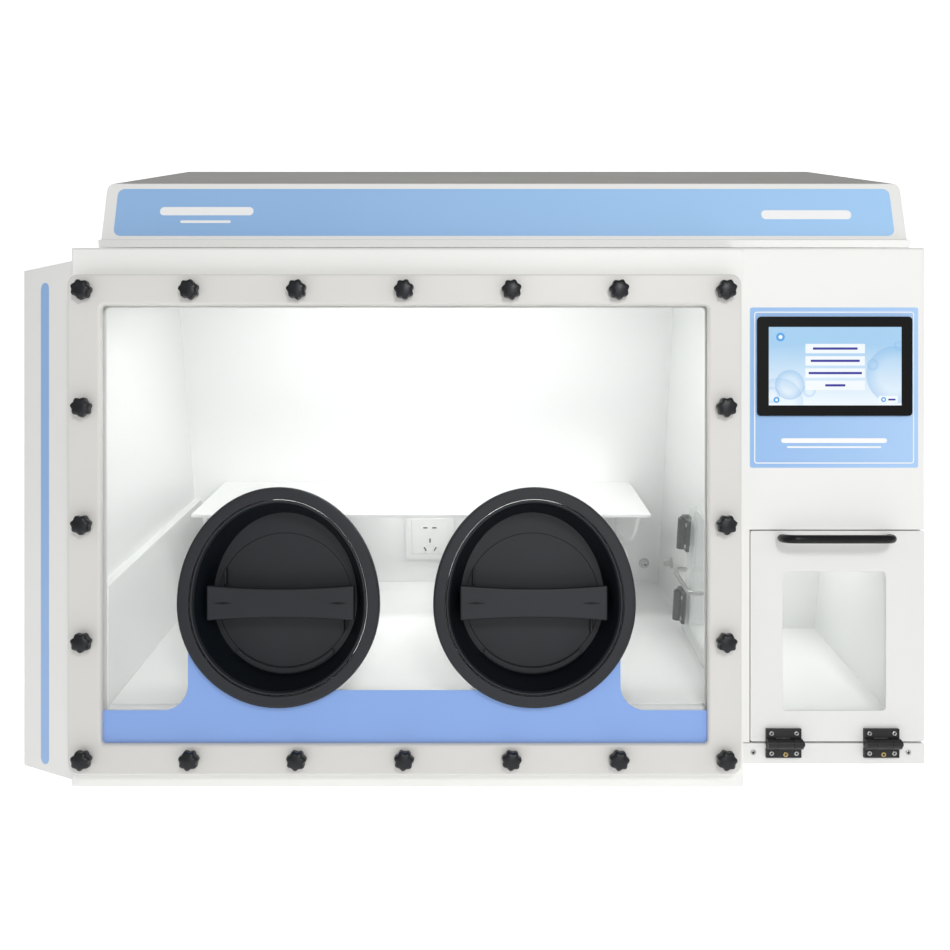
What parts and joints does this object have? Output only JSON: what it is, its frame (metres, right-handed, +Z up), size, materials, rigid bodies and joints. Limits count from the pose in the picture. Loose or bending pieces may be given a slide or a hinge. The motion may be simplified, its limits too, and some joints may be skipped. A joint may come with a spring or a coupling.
{
  "type": "laboratory glove box",
  "caption": "Bench-top glove box with a sloped clear window held by star knobs, two oval arm ports with plug doors, and an airlock column with a touch screen.",
  "frame": {"origin": "on the bench, under the middle of the overall box", "axes": "+X to the right as the user faces the window, +Y to the rear, +Z up"},
  "size_m": [1.268, 0.6949, 0.848],
  "materials": {
    "powder_white": "fine-textured satin powder coat, off-white",
    "liner_white": "smooth semi-gloss white coat",
    "frame_grey": "satin light warm grey coat",
    "clear_acrylic": "clear, polished, faint cool tint at the edges",
    "white_silicone": "matte white silicone",
    "black_rubber": "matte",
    "black_plastic": "moulded, fine satin texture",
    "black_metal": "black satin coat",
    "bright_steel": "polished",
    "screen_black": "gloss black bezel",
    "socket_white": "gloss white",
    "lamp_diffuser": "opal diffuser"
  },
  "bodies": {
    "case": {"main_case": "powder_white", "chamber_liner": "liner_white", "left_side_cover": "powder_white", "hood": "powder_white", "column_case": "powder_white", "airlock_liner": "liner_white", "rear_panel": "powder_white", "foot_1": "black_rubber", "foot_2": "black_rubber", "foot_3": "black_rubber", "foot_4": "black_rubber", "shelf": "liner_white", "floor_plate": "liner_white", "wall_socket": "socket_white", "chamber_lamp": "lamp_diffuser", "hinge_strip": "powder_white", "airlock_hinge_1_lower": "black_metal", "airlock_hinge_2_lower": "black_metal", "touch_screen": "screen_black", "inner_hinge_1_wall": "black_metal", "inner_hinge_2_wall": "black_metal"},
    "window": {"window_frame": "frame_grey", "window_pane": "clear_acrylic", "window_gasket": "white_silicone", "port_ring_left": "black_plastic", "port_ring_right": "black_plastic"},
    "port_door_left": {"port_door_left": "black_plastic"},
    "port_handle_left": {"port_handle_left": "black_plastic"},
    "port_door_right": {"port_door_right": "black_plastic"},
    "port_handle_right": {"port_handle_right": "black_plastic"},
    "airlock_door": {"airlock_door": "powder_white", "airlock_door_glass": "clear_acrylic", "airlock_door_seal": "black_rubber", "airlock_door_handle": "black_plastic", "airlock_hinge_1_upper": "black_metal", "airlock_hinge_2_upper": "black_metal"},
    "inner_door": {"inner_door": "clear_acrylic", "inner_door_handle": "bright_steel", "inner_hinge_1_door": "black_metal", "inner_hinge_2_door": "black_metal"},
    "star_knob_01": {"star_knob_01": "black_plastic"},
    "star_knob_02": {"star_knob_02": "black_plastic"},
    "star_knob_03": {"star_knob_03": "black_plastic"},
    "star_knob_04": {"star_knob_04": "black_plastic"},
    "star_knob_05": {"star_knob_05": "black_plastic"},
    "star_knob_06": {"star_knob_06": "black_plastic"},
    "star_knob_07": {"star_knob_07": "black_plastic"},
    "star_knob_08": {"star_knob_08": "black_plastic"},
    "star_knob_09": {"star_knob_09": "black_plastic"},
    "star_knob_10": {"star_knob_10": "black_plastic"},
    "star_knob_11": {"star_knob_11": "black_plastic"},
    "star_knob_12": {"star_knob_12": "black_plastic"},
    "star_knob_13": {"star_knob_13": "black_plastic"},
    "star_knob_14": {"star_knob_14": "black_plastic"},
    "star_knob_15": {"star_knob_15": "black_plastic"},
    "star_knob_16": {"star_knob_16": "black_plastic"},
    "star_knob_17": {"star_knob_17": "black_plastic"},
    "star_knob_18": {"star_knob_18": "black_plastic"},
    "star_knob_19": {"star_knob_19": "black_plastic"},
    "star_knob_20": {"star_knob_20": "black_plastic"}
  },
  "joints": [
    {"name": "window_lift_off", "type": "slide", "parent": "case", "child": "window", "axis": [0, -0.969, 0.247], "range_m": [0, 0.15]},
    {"name": "port_door_left_pull", "type": "slide", "parent": "window", "child": "port_door_left", "axis": [0, -0.969, 0.247], "range_m": [0, 0.12]},
    {"name": "port_handle_left_turn", "type": "hinge", "parent": "port_door_left", "child": "port_handle_left", "pos_m": [-0.25, -0.23993, 0.25315], "axis": [0, -0.969, 0.247], "range_deg": [0, 90]},
    {"name": "port_door_right_pull", "type": "slide", "parent": "window", "child": "port_door_right", "axis": [0, -0.969, 0.247], "range_m": [0, 0.12]},
    {"name": "port_handle_right_turn", "type": "hinge", "parent": "port_door_right", "child": "port_handle_right", "pos_m": [0.086, -0.23993, 0.25315], "axis": [0, -0.969, 0.247], "range_deg": [0, 90]},
    {"name": "airlock_door_hinge", "type": "hinge", "parent": "case", "child": "airlock_door", "pos_m": [0.5042, -0.26635, 0.05114], "axis": [1, 0, 0], "range_deg": [0, 104]},
    {"name": "inner_door_hinge", "type": "hinge", "parent": "case", "child": "inner_door", "pos_m": [0.3287, -0.05, 0.232], "axis": [0, 0, -1], "range_deg": [0, 90]},
    {"name": "star_knob_01_turn", "type": "hinge", "parent": "window", "child": "star_knob_01", "pos_m": [-0.5051, -0.18478, 0.66385], "axis": [0, -0.969, 0.247], "continuous": true},
    {"name": "star_knob_02_turn", "type": "hinge", "parent": "window", "child": "star_knob_02", "pos_m": [-0.3649, -0.18478, 0.66385], "axis": [0, -0.969, 0.247], "continuous": true},
    {"name": "star_knob_03_turn", "type": "hinge", "parent": "window", "child": "star_knob_03", "pos_m": [-0.2247, -0.18478, 0.66385], "axis": [0, -0.969, 0.247], "continuous": true},
    {"name": "star_knob_04_turn", "type": "hinge", "parent": "window", "child": "star_knob_04", "pos_m": [-0.0845, -0.18478, 0.66385], "axis": [0, -0.969, 0.247], "continuous": true},
    {"name": "star_knob_05_turn", "type": "hinge", "parent": "window", "child": "star_knob_05", "pos_m": [0.0557, -0.18478, 0.66385], "axis": [0, -0.969, 0.247], "continuous": true},
    {"name": "star_knob_06_turn", "type": "hinge", "parent": "window", "child": "star_knob_06", "pos_m": [0.1959, -0.18478, 0.66385], "axis": [0, -0.969, 0.247], "continuous": true},
    {"name": "star_knob_07_turn", "type": "hinge", "parent": "window", "child": "star_knob_07", "pos_m": [0.3361, -0.18478, 0.66385], "axis": [0, -0.969, 0.247], "continuous": true},
    {"name": "star_knob_08_turn", "type": "hinge", "parent": "window", "child": "star_knob_08", "pos_m": [-0.5051, -0.22267, 0.5152], "axis": [0, -0.969, 0.247], "continuous": true},
    {"name": "star_knob_09_turn", "type": "hinge", "parent": "window", "child": "star_knob_09", "pos_m": [0.3361, -0.22267, 0.5152], "axis": [0, -0.969, 0.247], "continuous": true},
    {"name": "star_knob_10_turn", "type": "hinge", "parent": "window", "child": "star_knob_10", "pos_m": [-0.5051, -0.26056, 0.36656], "axis": [0, -0.969, 0.247], "continuous": true},
    {"name": "star_knob_11_turn", "type": "hinge", "parent": "window", "child": "star_knob_11", "pos_m": [0.3361, -0.26056, 0.36656], "axis": [0, -0.969, 0.247], "continuous": true},
    {"name": "star_knob_12_turn", "type": "hinge", "parent": "window", "child": "star_knob_12", "pos_m": [-0.5051, -0.29845, 0.21791], "axis": [0, -0.969, 0.247], "continuous": true},
    {"name": "star_knob_13_turn", "type": "hinge", "parent": "window", "child": "star_knob_13", "pos_m": [0.3361, -0.29845, 0.21791], "axis": [0, -0.969, 0.247], "continuous": true},
    {"name": "star_knob_14_turn", "type": "hinge", "parent": "window", "child": "star_knob_14", "pos_m": [-0.5051, -0.33634, 0.06926], "axis": [0, -0.969, 0.247], "continuous": true},
    {"name": "star_knob_15_turn", "type": "hinge", "parent": "window", "child": "star_knob_15", "pos_m": [-0.3649, -0.33634, 0.06926], "axis": [0, -0.969, 0.247], "continuous": true},
    {"name": "star_knob_16_turn", "type": "hinge", "parent": "window", "child": "star_knob_16", "pos_m": [-0.2247, -0.33634, 0.06926], "axis": [0, -0.969, 0.247], "continuous": true},
    {"name": "star_knob_17_turn", "type": "hinge", "parent": "window", "child": "star_knob_17", "pos_m": [-0.0845, -0.33634, 0.06926], "axis": [0, -0.969, 0.247], "continuous": true},
    {"name": "star_knob_18_turn", "type": "hinge", "parent": "window", "child": "star_knob_18", "pos_m": [0.0557, -0.33634, 0.06926], "axis": [0, -0.969, 0.247], "continuous": true},
    {"name": "star_knob_19_turn", "type": "hinge", "parent": "window", "child": "star_knob_19", "pos_m": [0.1959, -0.33634, 0.06926], "axis": [0, -0.969, 0.247], "continuous": true},
    {"name": "star_knob_20_turn", "type": "hinge", "parent": "window", "child": "star_knob_20", "pos_m": [0.3361, -0.33634, 0.06926], "axis": [0, -0.969, 0.247], "continuous": true}
  ]
}
